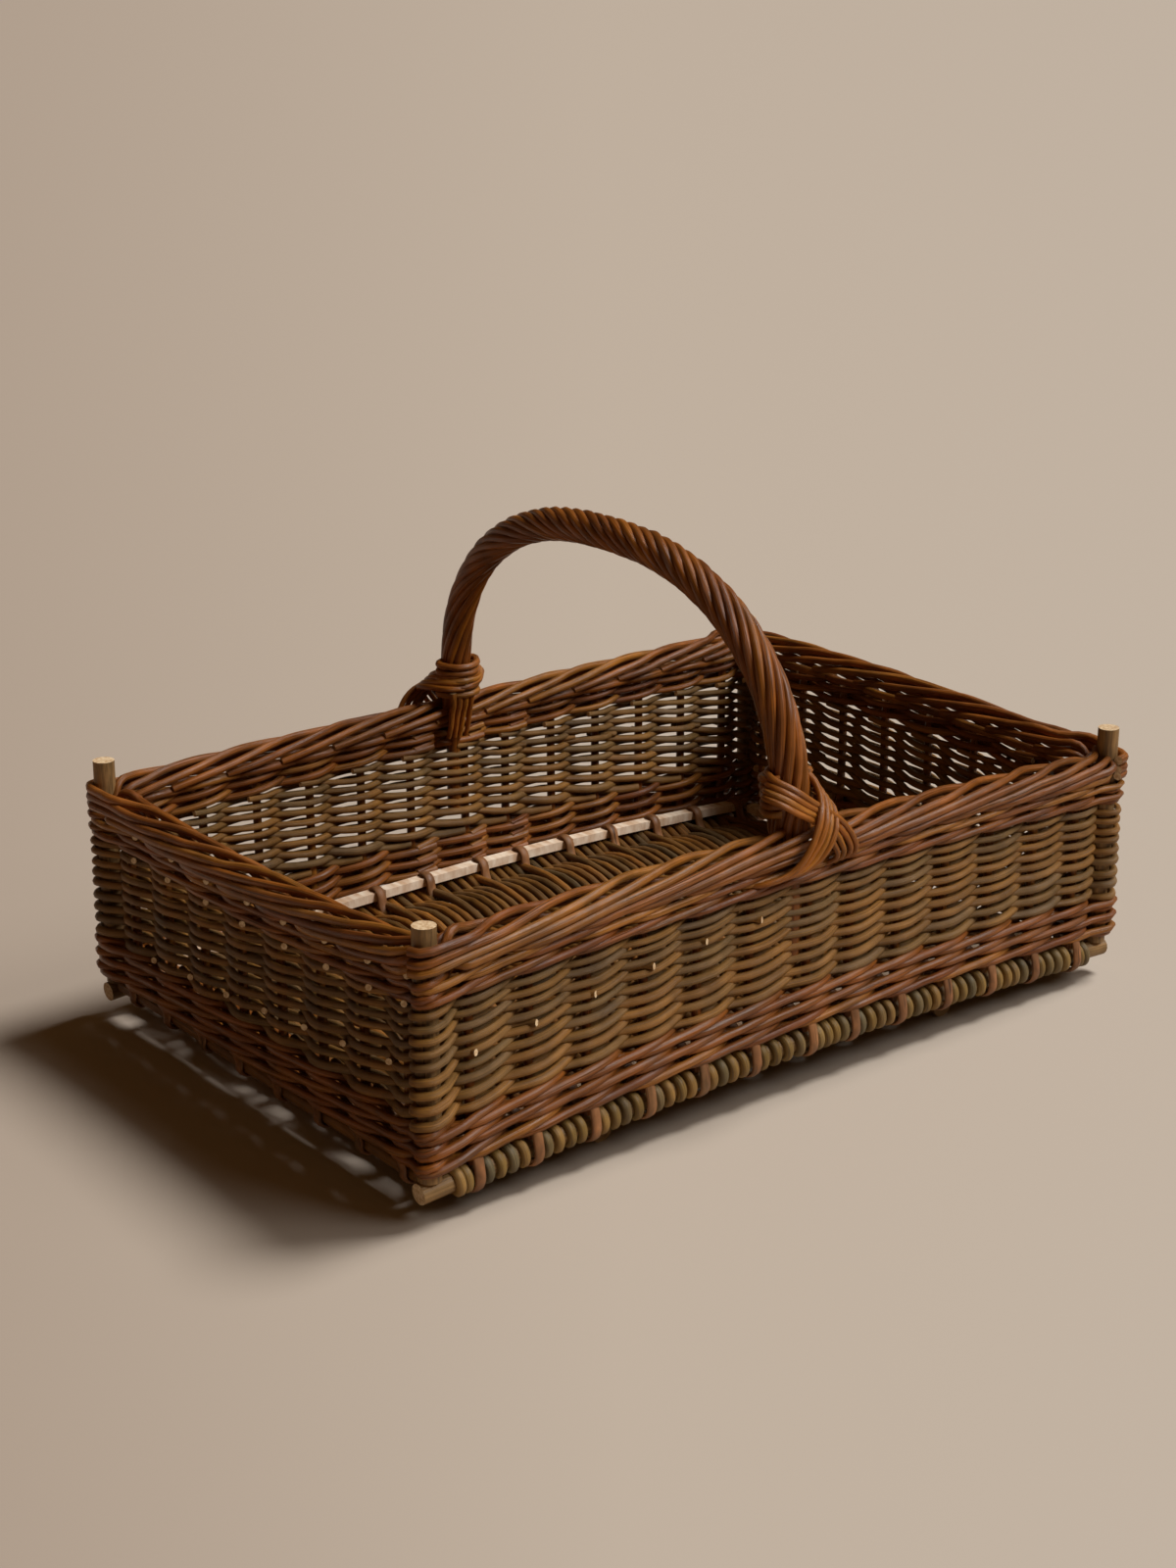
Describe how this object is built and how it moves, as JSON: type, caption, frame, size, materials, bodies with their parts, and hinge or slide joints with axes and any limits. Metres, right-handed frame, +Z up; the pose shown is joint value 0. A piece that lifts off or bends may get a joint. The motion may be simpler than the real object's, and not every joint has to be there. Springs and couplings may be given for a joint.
{
  "type": "woven willow garden basket",
  "caption": "Low rectangular garden basket of unpeeled woven willow with upright corner posts, a plaited border and a fixed roped bow handle across the middle.",
  "frame": {"origin": "on the ground under the middle of the basket", "axes": "+Z up, +X along the long side, +Y from the front wall to the back wall"},
  "size_m": [0.522, 0.3604, 0.2963],
  "materials": {
    "reddish_willow": "reddish-brown bark with a soft sheen, pale where it is cut",
    "olive_willow": "olive to grey-brown bark with a soft sheen, pale where it is cut",
    "grey_willow": "matt grey-brown bark, pale where it is cut"
  },
  "bodies": {
    "root": {"base_end_rod_left": "olive_willow", "base_end_rod_right": "olive_willow", "base_stick_back": "grey_willow", "base_stick_front": "grey_willow", "base_stick_inner_1": "grey_willow", "base_stick_inner_2": "grey_willow", "base_stick_inner_3": "grey_willow", "base_stick_inner_4": "grey_willow", "base_stick_inner_5": "grey_willow", "base_weave": "olive_willow", "border_back": "reddish_willow", "border_front": "reddish_willow", "border_left": "reddish_willow", "border_right": "reddish_willow", "bottom_wale_back": "reddish_willow", "bottom_wale_front": "reddish_willow", "bottom_wale_left": "reddish_willow", "bottom_wale_right": "reddish_willow", "corner_post_back_left": "reddish_willow", "corner_post_back_right": "reddish_willow", "corner_post_front_left": "reddish_willow", "corner_post_front_right": "reddish_willow", "handle_binding_back": "reddish_willow", "handle_binding_front": "reddish_willow", "handle_bow": "reddish_willow", "handle_lap_over_back": "reddish_willow", "handle_lap_over_front": "reddish_willow", "handle_lap_under_back": "reddish_willow", "handle_lap_under_front": "reddish_willow", "handle_roping": "reddish_willow", "handle_tail_band_back": "reddish_willow", "handle_tail_band_front": "reddish_willow", "runner_left": "grey_willow", "runner_right": "grey_willow", "siding_back": "olive_willow", "siding_front": "olive_willow", "siding_left": "olive_willow", "siding_right": "olive_willow", "stakes_back": "reddish_willow", "stakes_front": "reddish_willow", "stakes_left": "reddish_willow", "stakes_right": "reddish_willow", "top_wale_back": "reddish_willow", "top_wale_front": "reddish_willow", "top_wale_left": "reddish_willow", "top_wale_right": "reddish_willow"}
  },
  "joints": []
}
